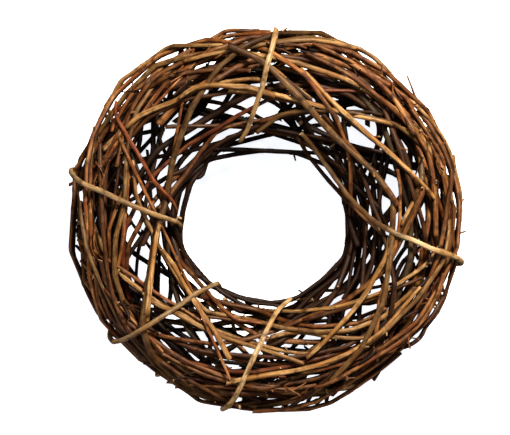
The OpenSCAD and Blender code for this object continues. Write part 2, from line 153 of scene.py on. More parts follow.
def flat_groups(points, polygons):
    """Sets of points of polygons that touch and lie in one plane."""
    by_edge = {}
    for k, p in enumerate(polygons):
        for a, b in zip(p, p[1:] + p[:1]):
            by_edge.setdefault(frozenset((a, b)), []).append(k)
    beside = [set() for _ in polygons]
    for pair in by_edge.values():
        for k in pair:
            beside[k].update(pair)
    normals = [normal_of(points, p) for p in polygons]
    seen, groups = set(), []
    for start in range(len(polygons)):
        if start in seen:
            continue
        seen.add(start)
        group, waiting = set(), [start]
        while waiting:
            k = waiting.pop()
            group.update(polygons[k])
            for other in beside[k] - seen:
                if normals[k] @ normals[other] > 0.9995:
                    seen.add(other)
                    waiting.append(other)
        groups.append(sorted(group))
    return groups


def is_cap(points, group):
    """True for the corners of a rod's flat end: as many as it has sides, all as far from their middle."""
    if len(group) != CAD_SIDES:
        return False
    away = np.linalg.norm(points[group] - points[group].mean(0), axis=1)
    return away.max() < 1.02 * away.min()


def rod_rings(node):
    """Centres and radii of the cross-sections of a CAD rod, from one end to the other."""
    points, polygons = welded(frame["nodes"][node].data)
    links = [set() for _ in points]
    for p in polygons:
        for i in p:
            links[i].update(p)
    caps = [g for g in flat_groups(points, polygons) if is_cap(points, g)]
    ring, seen, rings = set(caps[0]), set(), []
    while ring:
        rings.append(sorted(ring))
        seen |= ring
        ring = set().union(*(links[i] for i in ring)) - seen
    centres = np.array([points[r].mean(0) for r in rings])
    radii = np.array([np.linalg.norm(points[r] - points[r].mean(0), axis=1).mean() for r in rings])
    return centres, radii


# --- Rod geometry ---

def spline(values, places):
    """Catmull-Rom through rows of values, at fractional row numbers."""
    last = len(values) - 1
    k = np.clip(np.floor(places).astype(int), 0, last - 1)
    t = (places - k)[:, None]
    before, a, b, after = (values[np.clip(k + d, 0, last)] for d in (-1, 0, 1, 2))
    square = 2 * before - 5 * a + 4 * b - after
    cube = 3 * (a - b) + after - before
    return a + 0.5 * t * (b - before + t * (square + t * cube))


def unit_rows(rows):
    """Every row at length 1."""
    return rows / np.maximum(np.linalg.norm(rows, axis=1), 1e-12)[:, None]


def resampled(centres, radii):
    """The rod's line with evenly spaced points: points, radii, distance along the rod."""
    fine = np.linspace(0, len(centres) - 1, 12 * len(centres))
    dense = spline(centres, fine)
    along = np.concatenate([[0], np.cumsum(np.linalg.norm(np.diff(dense, axis=0), axis=1))])
    count = max(int(round(along[-1] / STEP)), 4)
    s = np.linspace(0, along[-1], count + 1)
    places = np.interp(s, along, fine)
    return spline(centres, places), np.interp(places, np.arange(len(radii)), radii), s


def frames(points):
    """Tangents, and two directions across the rod that don't twist round it."""
    tangents = unit_rows(np.gradient(points, axis=0))
    across = np.empty_like(points)
    first = np.cross(tangents[0], [0.0, 0.0, 1.0])
    across[0] = first / max(np.linalg.norm(first), 1e-9)
    for i in range(1, len(points)):
        a = across[i - 1] - (across[i - 1] @ tangents[i]) * tangents[i]
        across[i] = a / np.linalg.norm(a)
    return tangents, across, np.cross(tangents, across)


def from_ring(points):
    """Direction away from the ring's middle line, and how dark the bark is painted there, 0 to 1: painted
    shade deep inside the bundle and on its inner wall."""
    spoke = unit_rows((points - RING_CENTRE) * [1, 1, 0])
    away = points - RING_CENTRE - RING_RADIUS * spoke
    r = np.linalg.norm(away, axis=1)
    # Painted shade deep in the bundle, and on the bundle's inner wall
    deep = np.clip((BUNDLE_RADIUS - DARK_STARTS - r) / DARK_OVER, 0, 1)
    inner = np.clip((-(away * spoke).sum(1) / r - 0.55) / 0.45, 0, 1)
    return unit_rows(away), np.maximum(deep, INNER_WALL_SHADE * inner)


def smooth_noise(rng, length, spacing, s):
    """Random numbers from -1 to 1 every so often, joined smoothly, at the distances s."""
    knots = rng.uniform(-1, 1, int(length / spacing) + 4)
    return spline(knots[:, None], s / spacing + 1)[:, 0]


class Rod:
    """A rod's line with its nodes: where they are, and on which side each has its bud."""

    def __init__(self, centres, radii, rng, node_gap, kink, straight, oldest=OLDEST):
        self.points, self.radii, self.s = resampled(centres, radii)
        self.rng = rng
        self.length = self.s[-1]
        self.nodes = self.node_places(node_gap)
        self.bend_at_nodes(kink, straight)
        self.points[:, 2] = np.maximum(self.points[:, 2], FLOOR_ROOM * self.radii)
        self.tangents, self.side, self.up = frames(self.points)
        turn = rng.uniform(0, 2 * math.pi)
        self.bud_sides = [turn + BUD_TURN * i + rng.uniform(-0.3, 0.3) for i in range(len(self.nodes))]
        self.own_age = oldest * rng.random() ** 1.1

    def node_places(self, gap):
        """Distances along the rod of its nodes."""
        places, s = [], self.rng.uniform(0.2, 0.8) * gap[0]
        while s < self.length - 4 * MM:
            places.append(s)
            s += self.rng.uniform(*gap)
        return places

    def bend_at_nodes(self, kink, straight):
        """Makes the line run nearly straight between nodes and bend at them."""
        stops = np.array([0, *self.nodes, self.length])
        for axis in range(3):
            line = self.points[:, axis]
            corners = np.interp(stops, self.s, line) + self.rng.uniform(-kink, kink, len(stops))
            line += straight * (np.interp(self.s, stops, corners) - line)
        for _ in range(2):
            self.points[1:-1] += 0.5 * ((self.points[:-2] + self.points[2:]) / 2 - self.points[1:-1])

    def age_and_shade(self, sides=SIDES):
        """How dark the bark is round the line: each rod has an age of its own, and painted shade darkens it
        deep inside the bundle, on its inner wall and on the side that is turned inwards."""
        away, depth = from_ring(self.points)
        angle = np.linspace(0, 2 * math.pi, sides, endpoint=False)
        turned_out = (np.outer((away * self.side).sum(1), np.cos(angle))
                      + np.outer((away * self.up).sum(1), np.sin(angle)))
        # Painted shade on the side of the rod that is turned inwards
        painted_inward_shade = PAINTED_INWARD_SHADE * np.clip((0.55 - turned_out) / 0.9, 0, 1)
        return np.maximum(np.maximum(depth[:, None], self.own_age), painted_inward_shade)

    def wander(self, spacing):
        """Smooth random numbers from -1 to 1 along the rod, as a column."""
        return smooth_noise(self.rng, self.length, spacing, self.s)[:, None]

    def surface(self, sides=SIDES):
        """Rings of points round the line, with the swelling of nodes and buds and a slightly uneven bark."""
        angle = np.linspace(0, 2 * math.pi, sides, endpoint=False)
        s = self.s[:, None]
        lumps = LUMPS * self.wander(LUMP_SPACING)
        oval = OVAL * np.cos(2 * angle + 3 * self.wander(OVAL_SPACING))
        ridges = RIDGES * np.cos(5 * angle + 8 * self.wander(RIDGE_SPACING))
        swell = np.zeros((len(self.s), sides))
        mark = np.zeros((len(self.s), sides))
        for place, bud in zip(self.nodes, self.bud_sides):
            near = np.exp(-((s - place) / NODE_LENGTH) ** 2)
            facing = np.exp(-(((angle - bud + math.pi) % (2 * math.pi) - math.pi) / BUD_WIDTH) ** 2)
            after = np.exp(-((s - place - BUD_AFTER) / BUD_LENGTH) ** 2)
            swell += NODE_SWELLING * near + BUD_SWELLING * after * facing
            mark += np.maximum(0.8 * np.exp(-((s - place) / MARK_LENGTH) ** 2), after * facing)
        r = self.radii[:, None] * (1 + lumps + oval + ridges + swell)
        rings = (self.points[:, None] + (r * np.cos(angle))[..., None] * self.side[:, None]
                 + (r * np.sin(angle))[..., None] * self.up[:, None])
        straight = np.stack([r * np.cos(angle), r * np.sin(angle), np.broadcast_to(s, r.shape)], axis=2)
        return rings, straight, np.clip(mark, 0, 1)


class Shell:
    """Vertices, faces and the numbers that the bark material reads, gathered for one mesh."""

    def __init__(self):
        self.points, self.bark, self.mark, self.depth = [], [], [], []
        self.faces, self.cut = [], []

    def add_tube(self, rings, straight, mark, depth, rng):
        """A tube through rings of points, closed by slanting cuts."""
        count, sides = rings.shape[:2]
        rings = rings.copy()
        ends = ((0, rings[0].mean(0) - rings[1].mean(0)), (count - 1, rings[-1].mean(0) - rings[-2].mean(0)))
        for k, out in ends:
            out = out / max(np.linalg.norm(out), 1e-12)
            middle = rings[k].mean(0)
            lean = unit_rows((rings[k] - middle)[:1])[0]
            height = (rings[k] - middle) @ lean
            rings[k] += np.outer(height * rng.uniform(*CUT_SLANT), out)
        base = sum(len(p) for p in self.points)
        self.points.append(rings.reshape(-1, 3))
        self.bark.append(straight.reshape(-1, 3))
        self.mark.append(mark.reshape(-1))
        self.depth.append(depth.reshape(-1))
        for i in range(count - 1):
            for j in range(sides):
                a, b = base + i * sides + j, base + i * sides + (j + 1) % sides
                self.faces.append((a, b, b + sides, a + sides))
        self.cut += [0] * ((count - 1) * sides)
        for k, out in ends:
            self.add_cut(rings[k], straight[k], base + k * sides, k > 0)

    def add_cut(self, ring, straight, base, far):
        """The cut end: a bark edge, a ring of wood a little inside it, and a pith in its middle."""
        sides = len(ring)
        middle = ring.mean(0)
        start = sum(len(p) for p in self.points)
        self.points.append(np.vstack([middle + WOOD_SHARE * (ring - middle), middle[None]]))
        self.bark.append(np.vstack([WOOD_SHARE * straight, straight.mean(0)[None]]))
        self.mark.append(np.zeros(sides + 1))
        self.depth.append(np.zeros(sides + 1))
        for j in range(sides):
            k = (j + 1) % sides
            rim = (base + j, start + j, start + k, base + k)
            disc = (start + j, start + sides, start + k)
            self.faces += [rim[::-1], disc[::-1]] if far else [rim, disc]
            self.cut += [1, 1]

    def mesh(self, name, tone):
        """The finished mesh, smooth-shaded, with the bark's numbers as attributes."""
        mesh = bpy.data.meshes.new(name)
        mesh.from_pydata(np.vstack(self.points).tolist(), [], self.faces)
        mesh.polygons.foreach_set("material_index", self.cut)
        mesh.polygons.foreach_set("use_smooth", [c == 0 for c in self.cut])
        bark = mesh.attributes.new("bark", "FLOAT_VECTOR", "POINT")
        bark.data.foreach_set("vector", (np.vstack(self.bark) + [0, 0, tone]).astype(np.float32).ravel())
        # depth: how far the bark darkens, with age and with painted shade
        for label, values in (("mark", self.mark), ("depth", self.depth)):
            layer = mesh.attributes.new(label, "FLOAT", "POINT")
            layer.data.foreach_set("value", np.concatenate(values).astype(np.float32))
        mesh.update()
        return mesh


# Length of a cut side shoot in mm, and its radii at its two ends as shares of the rod's
STUB_LENGTH = (3, 6)
STUB_TAPER = (0.5, 0.34)
STUB_POINTS = 5


def stub(rod, shell, rng, node):
    """A side shoot that was cut off short, at a node of a rod."""
    k = int(np.argmin(abs(rod.s - rod.nodes[node])))
    away = from_ring(rod.points[k:k + 1])[0]
    side = rod.side[k] * math.cos(rod.bud_sides[node]) + rod.up[k] * math.sin(rod.bud_sides[node])
    direction = side + 0.9 * rod.tangents[k] * rng.choice([-1, 1]) + 0.5 * away[0]
    direction /= np.linalg.norm(direction)
    length = rng.uniform(*STUB_LENGTH) * MM + rod.radii[k]
    line = rod.points[k] + np.linspace(0, length, STUB_POINTS)[:, None] * direction
    radii = np.linspace(*STUB_TAPER, STUB_POINTS) * rod.radii[k]
    twig = Rod(line, radii, rng, node_gap=(1, 2), kink=0, straight=0)
    shell.add_tube(*twig.surface(STUB_SIDES), twig.age_and_shade(STUB_SIDES), rng)


# --- Materials ---

# How strongly bark mirrors light, and how rough the noise in it is
SPECULAR = 0.13
NOISE_ROUGHNESS = 0.55


class Graph:
    """Short ways to add nodes to one material's node tree."""

    def __init__(self, name):
        self.material = bpy.data.materials.new(name)
        self.material.use_nodes = True
        self.tree = self.material.node_tree
        self.shader = self.tree.nodes["Principled BSDF"]

    def plug(self, socket, value):
        """Links a socket to another node's output, or sets its value."""
        if isinstance(value, bpy.types.NodeSocket):
            self.tree.links.new(value, socket)
        else:
            socket.default_value = value

    def attribute(self, label, output="Fac"):
        """A number or vector that the mesh carries."""
        node = self.tree.nodes.new("ShaderNodeAttribute")
        node.attribute_name = label
        return node.outputs[output]

    def math(self, operation, a, b):
        """One arithmetic step."""
        node = self.tree.nodes.new("ShaderNodeMath")
        node.operation = operation
        self.plug(node.inputs[0], a)
        self.plug(node.inputs[1], b)
        return node.outputs[0]

    def noise(self, vector, stretch, scale, detail=3.0):
        """Noise of so many features a metre, stretched along the rod."""
        mapping = self.tree.nodes.new("ShaderNodeMapping")
        self.plug(mapping.inputs["Vector"], vector)
        mapping.inputs["Scale"].default_value = (1, 1, stretch)
        node = self.tree.nodes.new("ShaderNodeTexNoise")
        self.plug(node.inputs["Vector"], mapping.outputs[0])
        node.inputs["Scale"].default_value = scale
        node.inputs["Detail"].default_value = detail
        node.inputs["Roughness"].default_value = NOISE_ROUGHNESS
        return node.outputs["Fac"]

    def range(self, value, low, high, to_low=0.0, to_high=1.0):
        """A value's range stretched to another, with both ends held."""
        node = self.tree.nodes.new("ShaderNodeMapRange")
        self.plug(node.inputs["Value"], value)
        for label, number in (("From Min", low), ("From Max", high), ("To Min", to_low), ("To Max", to_high)):
            node.inputs[label].default_value = number
        return node.outputs["Result"]

    def mix(self, factor, a, b):
        """Two colours mixed."""
        node = self.tree.nodes.new("ShaderNodeMix")
        node.data_type = "RGBA"
        self.plug(node.inputs["Factor"], factor)
        self.plug(node.inputs["A"], a)
        self.plug(node.inputs["B"], b)
        return node.outputs["Result"]

    def bump(self, height, strength, distance):
        """A normal for fine relief."""
        node = self.tree.nodes.new("ShaderNodeBump")
        node.inputs["Strength"].default_value = strength
        node.inputs["Distance"].default_value = distance
        self.plug(node.inputs["Height"], height)
        return node.outputs["Normal"]


def rgb(code):
    """A hex colour as linear RGBA."""
    channels = [int(code[i:i + 2], 16) / 255 for i in (1, 3, 5)]
    return (*(c / 12.92 if c <= 0.04045 else ((c + 0.055) / 1.055) ** 2.4 for c in channels), 1.0)


def bark_material(name, dark, base, light, roughness):
    """Willow bark: lengthwise streaks, worn and blotched patches, pale pores across, dark nodes, darker with
    age and with painted shade."""
    g = Graph(name)
    place = g.attribute("bark", "Vector")
    streaks = g.noise(place, 0.10, 900)
    patches = g.noise(place, 0.45, 75)
    worn = g.noise(place, 0.22, 60)
    blotches = g.noise(place, 0.7, 200, detail=5.0)
    pores = g.noise(place, 2.6, 620, detail=1.0)
    colour = g.mix(g.range(streaks, 0.38, 0.66), rgb(base), rgb(light))
    colour = g.mix(g.range(patches, 0.44, 0.60, 0.0, 0.85), colour, rgb(base))
    colour = g.mix(g.range(worn, 0.50, 0.68, 0.0, 0.75), colour, rgb(dark))
    colour = g.mix(g.range(blotches, 0.50, 0.66, 0.0, 0.8), colour, rgb(dark))
    colour = g.mix(g.range(pores, 0.68, 0.74, 0.0, 0.45), colour, rgb(light))
    colour = g.mix(g.math("MULTIPLY", g.attribute("mark"), 0.62), colour, rgb(dark))
    # Darker with age and with painted shade deep in the bundle, on its inner wall and on each rod's inward
    # side
    shade = g.range(g.attribute("depth"), 0.05, 0.85, 0.0, 0.85)
    colour = g.mix(shade, colour, rgb(dark))
    g.plug(g.shader.inputs["Base Color"], colour)
    g.plug(g.shader.inputs["Specular IOR Level"], SPECULAR)
    g.plug(g.shader.inputs["Roughness"], g.range(streaks, 0.3, 0.7, roughness + 0.10, roughness - 0.08))
    relief = g.math("ADD", g.math("MULTIPLY", streaks, 0.7), g.math("MULTIPLY", blotches, 0.5))
    g.plug(g.shader.inputs["Normal"], g.bump(relief, 0.55, 0.35 * MM))
    return g.material


def cut_material():
    """The pale wood of a cut end: growth rings round a brown pith."""
    g = Graph("cut_wood")
    place = g.attribute("bark", "Vector")
    grain = g.noise(place, 1.0, 1500)
    colour = g.mix(g.range(grain, 0.35, 0.65), rgb("#ab8b60"), rgb("#7f603c"))
    g.plug(g.shader.inputs["Base Color"], colour)
    g.plug(g.shader.inputs["Roughness"], 0.75)
    g.plug(g.shader.inputs["Normal"], g.bump(grain, 0.4, 0.2 * MM))
    return g.material


# Dark, usual and light colour of each bark, and its roughness
BARK_LOOKS = {
    "bark_sienna": ("#1b0801", "#663211", "#a97543", 0.46),
    "bark_ochre": ("#231003", "#7d5022", "#c89d66", 0.44),
    "bark_umber": ("#0e0401", "#2d1404", "#523011", 0.52),
    "bark_russet": ("#190601", "#54200c", "#8f522c", 0.42),
    "bark_grey": ("#150c05", "#48331c", "#786039", 0.58),
    "tie_straw": ("#38200c", "#a97c46", "#e2c394", 0.42),
}
BARKS = {name: bark_material(name, *look) for name, look in BARK_LOOKS.items()}
CUT_WOOD = cut_material()
SLOTS = {s["node"]: s["material_slot"] for s in frame["record"]["subparts"]}


# --- The rods ---

# Gaps that can be looked through from above, and spots along the hole's edge, which rods and shoots leave
# open: x, y and radius in mm
GAPS = (
    (-38, 88, 3), (-27, 84, 4), (-20, 89, 5), (-13, 92, 3), (2, 84, 6), (-54, 72, 4), (-57, 66, 2),
    (-75, 64, 4), (-91, 50, 3), (-92, 36, 3), (-60, 45, 3), (-65, 40, 4), (-84, 17, 3), (-100, 1, 5),
    (-66, 19, 4), (-36, 63, 3), (-18, 62, 3), (0, 61, 3), (13, 74, 3), (36, 77, 4), (53, 91, 4),
    (66, 83, 3), (76, 82, 4), (66, 65, 4), (72, 59, 3), (78, 69, 4), (82, 70, 3), (46, 37, 2),
    (94, 30, 4), (82, 22, 2), (70, 30, 3), (91, 10, 3), (95, -4, 4), (106, 51, 3), (115, 35, 3),
    (117, 12, 4), (68, -1, 3), (-95, -38, 5), (-103, -43, 2), (-76, -54, 4), (-70, -78, 5), (-55, -82, 3),
    (-52, -90, 3), (-36, -58, 3), (-42, -68, 2), (-18, -69, 2), (-10, -102, 3), (-79, -12, 2),
    (22, -99, 4), (31, -95, 5), (8, -68, 3), (44, -77, 3), (66, -84, 3), (42, -66, 3), (53, -53, 3),
    (77, -71, 6), (84, -47, 3), (88, -60, 3), (9, -106, 2), (47, -103, 2), (105, -13, 3), (103, -40, 3),
    (-76, 124, 3), (-84, 118, 3), (-92, 112, 2), (-101, 106, 2), (-57, -10, 5), (-56, -26, 5),
    (-50, -35, 4), (-14, -55, 4), (0, -57, 5), (12, -56, 5), (57, -24, 4), (57, -8, 4), (56, 4, 4),
)
GAP_CENTRES = np.array([g[:2] for g in GAPS]) * MM
GAP_RADII = np.array([g[2] for g in GAPS]) * MM

# Passes that move a line aside for the gaps, how often each one smooths it, and the room left between things
GAP_PASSES = 12
GAP_SMOOTHING = 3
CLEARANCE = 0.2 * MM

# How far a rod and a shoot may move aside for the gaps
RODS_ASIDE = 4 * MM
SHOOTS_ASIDE = 7 * MM


def pushed(points, radius, others, other_radii):
    """How far each point has to move to clear the nearest thing in its way, as vectors."""
    apart = points[:, None] - others
    far = np.maximum(np.linalg.norm(apart, axis=2), 1e-6)
    miss = radius + other_radii + CLEARANCE - far
    worst = miss.argmax(1)
    rows = np.arange(len(points))
    return np.maximum(miss[rows, worst], 0)[:, None] * apart[rows, worst] / far[rows, worst][:, None]


def aside(points, radii, furthest):
    """A line that has moved aside for the gaps, as far as it may."""
    moved = points.copy()
    radius = float(np.mean(radii))
    for _ in range(GAP_PASSES):
        moved[:, :2] += 0.5 * pushed(moved[:, :2], radius, GAP_CENTRES, GAP_RADII)
        shift = (moved - points)[:, :2]
        for _ in range(GAP_SMOOTHING):
            shift[1:-1] += 0.5 * ((shift[:-2] + shift[2:]) / 2 - shift[1:-1])
        far = np.linalg.norm(shift, axis=1)[:, None]
        moved[:, :2] = points[:, :2] + shift * np.minimum(1, furthest / np.maximum(far, 1e-9))
    return moved


class Space:
    """The lines of everything laid so far, which the fine shoots keep clear of."""

    def __init__(self):
        self.points, self.radii = np.empty((0, 3)), np.empty(0)

    def add(self, points, radii):
        """Takes in one more line."""
        self.points = np.vstack([self.points, points])
        self.radii = np.concatenate([self.radii, radii])

    def near(self, points, reach):
        """The laid points within reach of a line's box."""
        inside = ((self.points > points.min(0) - reach) & (self.points < points.max(0) + reach)).all(1)
        return self.points[inside], self.radii[inside]


# Everything laid so far, and the upper parts of what lies on top of all shoots
LAID = Space()
TOP_LINES = Space()

# How dark the bark of each tie is, and the share of its age and painted shade that shows as well
TIE_SHADES = {"tie_top": 0.40, "tie_left": 0.56, "tie_low_left": 0.66, "tie_bottom": 0.28, "tie_right": 0.14}
TIE_AGE_AND_SHADE_SHARE = 0.4

# The tie whose inner part is darker, where along it that starts and is complete, and how dark it is
DARK_INNER_END = ("tie_right", 105 * MM, 150 * MM, 0.85)

# Every piece starts elsewhere in the bark's noise, so that no two have the same pattern
ROD_TONE = 0.37
GROUP_TONE = 0.71

# A rod has its first cut side shoot at this node, and one more every so many nodes
FIRST_STUB = 2
STUB_EVERY = 4


def finish_piece(name, shell, tone, bark):
    """A piece from a shell of tubes, with its bark and its cut wood, riding on the part."""
    piece = bpy.data.objects.new(name, shell.mesh(name, tone))
    piece.data.materials.append(BARKS[bark])
    piece.data.materials.append(CUT_WOOD)
    bpy.context.scene.collection.objects.link(piece)
    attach(piece, "root")
    return piece


def build_rod(node, number):
    """The detailed rod that stands for a CAD rod."""
    rng = np.random.default_rng(SEED + number)
    centres, radii = rod_rings(node)
    tie = node.startswith("tie")
    if tie:
        rod = Rod(centres, TIE_THICKNESS * radii, rng, TIE_NODES, TIE_KINK, TIE_STRAIGHTNESS)
    else:
        centres = aside(centres, radii, RODS_ASIDE)
        rod = Rod(centres, rng.uniform(*ROD_THICKNESS) * radii, rng, ROD_NODES, ROD_KINK, ROD_STRAIGHTNESS)
    LAID.add(rod.points, rod.radii)
    if tie or node == "red_shoot":
        upper = rod.points[:, 2] > RING_CENTRE[2]
        TOP_LINES.add(rod.points[upper], rod.radii[upper])
    # Age, with painted shade deep in the bundle, on its inner wall and on the side turned inwards
    age_and_shade = rod.age_and_shade()
    if tie:
        age_and_shade = np.maximum(TIE_AGE_AND_SHADE_SHARE * age_and_shade, TIE_SHADES[node])
        dark_tie, start, end, share = DARK_INNER_END
        if node == dark_tie:
            age_and_shade = np.maximum(age_and_shade, share * np.clip((rod.s[:, None] - start) / (end - start), 0, 1))
    shell = Shell()
    shell.add_tube(*rod.surface(), age_and_shade, rng)
    if not tie:
        for k in range(FIRST_STUB, len(rod.nodes), STUB_EVERY):
            stub(rod, shell, rng, k)
    piece = finish_piece("willow_" + node, shell, number * ROD_TONE, SLOTS[node])
    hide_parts(node)


# Passes that settle a shoot, how many of them smooth its line, the share of the way moved in each, and how
# near the rods are that it keeps clear of
SETTLING_PASSES = 30
SMOOTH_PASSES = 22
PUSH_SHARE = 0.8
SMOOTH_SHARE = 0.4
NEARBY = 10 * MM

# How far over and under the bundle a shoot may lie, and how much higher a placed shoot starts
ROOM_ABOVE = 6 * MM
ROOM_BELOW = 3 * MM
PLACED_HIGHER = 4 * MM

# Distance between the corners of a shoot's line before it settles, and how thick its two ends are
SHOOT_STEP = 4 * MM
SHOOT_TAPER = (1.12, 0.8)


def half_height(points, reach):
    """Height of a bundle of that radius over the ring's middle plane, at each point."""
    across = np.hypot(points[:, 0] - RING_CENTRE[0], points[:, 1] - RING_CENTRE[1]) - RING_RADIUS
    return np.sqrt(np.maximum(reach ** 2 - across ** 2, 0))


def kept_under(points, radius):
    """Lowers a shoot where it would cross over a tie or the red shoot, which lie on top of everything."""
    tops, top_radii = TOP_LINES.near(points, NEARBY)
    if len(tops) == 0:
        return
    apart = np.linalg.norm(points[:, None, :2] - tops[:, :2], axis=2)
    nearest = apart.argmin(1)
    reach = radius + top_radii[nearest] + CLEARANCE
    under = tops[nearest, 2] - reach
    crosses = apart[np.arange(len(points)), nearest] < reach
    points[crosses, 2] = np.minimum(points[crosses, 2], under[crosses])


def settled(points, radius):
    """A shoot's line after it has risen or sunk clear of the rods that it crosses. Seen from above it stays
    where it is."""
    points = points.copy()
    others, other_radii = LAID.near(points, NEARBY)
    if len(others) == 0:
        return points
    highest = half_height(points, BUNDLE_RADIUS + ROOM_ABOVE)
    lowest = half_height(points, BUNDLE_RADIUS + ROOM_BELOW)
    for turn in range(SETTLING_PASSES):
        points[:, 2] += PUSH_SHARE * pushed(points, radius, others, other_radii)[:, 2]
        points[:, 2] = RING_CENTRE[2] + np.clip(points[:, 2] - RING_CENTRE[2], -lowest, highest)
        kept_under(points, radius)
        if turn < SMOOTH_PASSES:
            points[1:-1, 2] += SMOOTH_SHARE * ((points[:-2, 2] + points[2:, 2]) / 2 - points[1:-1, 2])
    return points


def add_shoot(shell, line, thickness, rng, oldest=OLDEST):
    """Lays one shoot along a line and adds it to a shell."""
    radius = thickness / 2
    line = settled(aside(line, radius, SHOOTS_ASIDE), radius)
    taper = radius * np.linspace(*SHOOT_TAPER, len(line))
    if rng.random() >= 0.5:
        taper = taper[::-1]
    shoot = Rod(line, taper, rng, SHOOT_NODES, SHOOT_KINK, SHOOT_STRAIGHTNESS, oldest)
    LAID.add(shoot.points, shoot.radii)
    shell.add_tube(*shoot.surface(SHOOT_SIDES), shoot.age_and_shade(SHOOT_SIDES), rng)


# How far out a random shoot reaches, as a share of the bundle's radius, its least length as a share of half
# of the longest that fits, and how far its ends may bend in or out
CHORD_REACH = 0.95
SHORTEST_CHORD = 0.9
CHORD_BEND = 0.02


def chord(rng, nearest, level):
    """A line that runs nearly straight across the ring's band, seen from above. Its level in the bundle goes
    from 1 at the top to -1 at the underside."""
    outer = RING_RADIUS + CHORD_REACH * BUNDLE_RADIUS
    half = math.sqrt(max(outer ** 2 - nearest ** 2, 1e-6))
    start, end = sorted(rng.uniform(-half, half, 2))
    if end - start < SHORTEST_CHORD * half:
        start, end = -half, half * rng.uniform(0.2, 1)
    x = np.linspace(start, end, max(int((end - start) / SHOOT_STEP), 8))
    r = np.hypot(x, nearest) * (1 + CHORD_BEND * rng.uniform(-1, 1) * (x / half) ** 2)
    a = np.arctan2(x, nearest) + rng.uniform(0, 2 * math.pi)
    line = RING_CENTRE + np.column_stack([r * np.cos(a), r * np.sin(a), np.zeros(len(x))])
    line[:, 2] += level * half_height(line, BUNDLE_RADIUS)
    return line


def closes_gap(line, radius):
    """Whether a line runs over the middle of a gap."""
    far = np.linalg.norm(line[:, None, :2] - GAP_CENTRES, axis=2)
    return bool((far < 0.5 * GAP_RADII + radius).any())


def wound_shoots(name, count, bark, seed, nearest, thickness, levels):
    """A group of shoots wound in between the rods: nearest is the range of their distance from the ring's
    axis."""
    rng = np.random.default_rng(seed)
    shell, made = Shell(), 0
    while made < count:
        width = rng.uniform(*thickness)
        line = chord(rng, rng.uniform(*nearest), rng.uniform(*levels))
        if not closes_gap(line, width / 2):
            add_shoot(shell, line, width, rng)
            made += 1
    finish_piece(name, shell, seed * GROUP_TONE, bark)


def placed_shoots(name, bark, seed, shoots):
    """A group of shoots with chosen lines."""
    rng = np.random.default_rng(seed)
    shell = Shell()
    for thickness, start, end, corners in shoots:
        corners = np.array(corners) * MM
        along = np.concatenate([[0], np.cumsum(np.linalg.norm(np.diff(corners, axis=0), axis=1))])
        s = np.linspace(0, along[-1], max(int(along[-1] / SHOOT_STEP), 6))
        line = np.column_stack([np.interp(s, along, corners[:, 0]), np.interp(s, along, corners[:, 1]),
                                np.full(len(s), RING_CENTRE[2])])
        line[:, 2] += np.linspace(start, end, len(s)) * half_height(line, BUNDLE_RADIUS + PLACED_HIGHER)
        add_shoot(shell, line, thickness * MM, rng, OLDEST_PALE if bark == "bark_ochre" else OLDEST)
    finish_piece(name, shell, seed * GROUP_TONE, bark)


# Number, lengths and radii in mm of the frayed twigs at a spot, how far off the spot they are, and the number
# of points of each one's line
TWIGS_A_SPOT = 3
TWIG_SCATTER = 2 * MM
TWIG_LENGTH = (10, 24)
TWIG_RADIUS = (0.6, 1.1)
TWIG_POINTS = 9


def frayed_twigs(name, bark, seed, spots):
    """Short thin twigs that stick up out of the bundle's surface, a few at each spot."""
    rng = np.random.default_rng(seed)
    shell = Shell()
    for x, y in spots:
        spot = np.array([x, y, 0]) * MM + [0, 0, RING_CENTRE[2]]
        spot[2] += 0.97 * half_height(spot[None], BUNDLE_RADIUS)[0]
        away = from_ring(spot[None])[0][0]
        spoke = unit_rows((spot - RING_CENTRE)[None] * [1, 1, 0])[0]
        round_ring = np.array([-spoke[1], spoke[0], 0])
        for _ in range(TWIGS_A_SPOT):
            direction = round_ring * rng.choice([-1, 1]) + 0.4 * rng.normal(size=3) + 0.1 * away
            bend = np.cross(direction, rng.normal(size=3))
            t = np.linspace(-0.5, 0.5, TWIG_POINTS)[:, None]
            length = rng.uniform(*TWIG_LENGTH) * MM
            straight = t * direction / np.linalg.norm(direction)
            curve = 0.5 * t ** 2 * bend / np.linalg.norm(bend)
            line = spot + TWIG_SCATTER * rng.normal(size=3) + length * (straight + curve)
            radii = rng.uniform(*TWIG_RADIUS) * MM * np.linspace(1, 0.5, TWIG_POINTS)
            twig = Rod(line, radii, rng, TWIG_NODES, TWIG_KINK, TWIG_STRAIGHTNESS)
            shell.add_tube(*twig.surface(STUB_SIDES), twig.age_and_shade(STUB_SIDES), rng)
    finish_piece(name, shell, seed * GROUP_TONE, bark)


for number, node in enumerate(sorted(frame["nodes"])):
    build_rod(node, number)

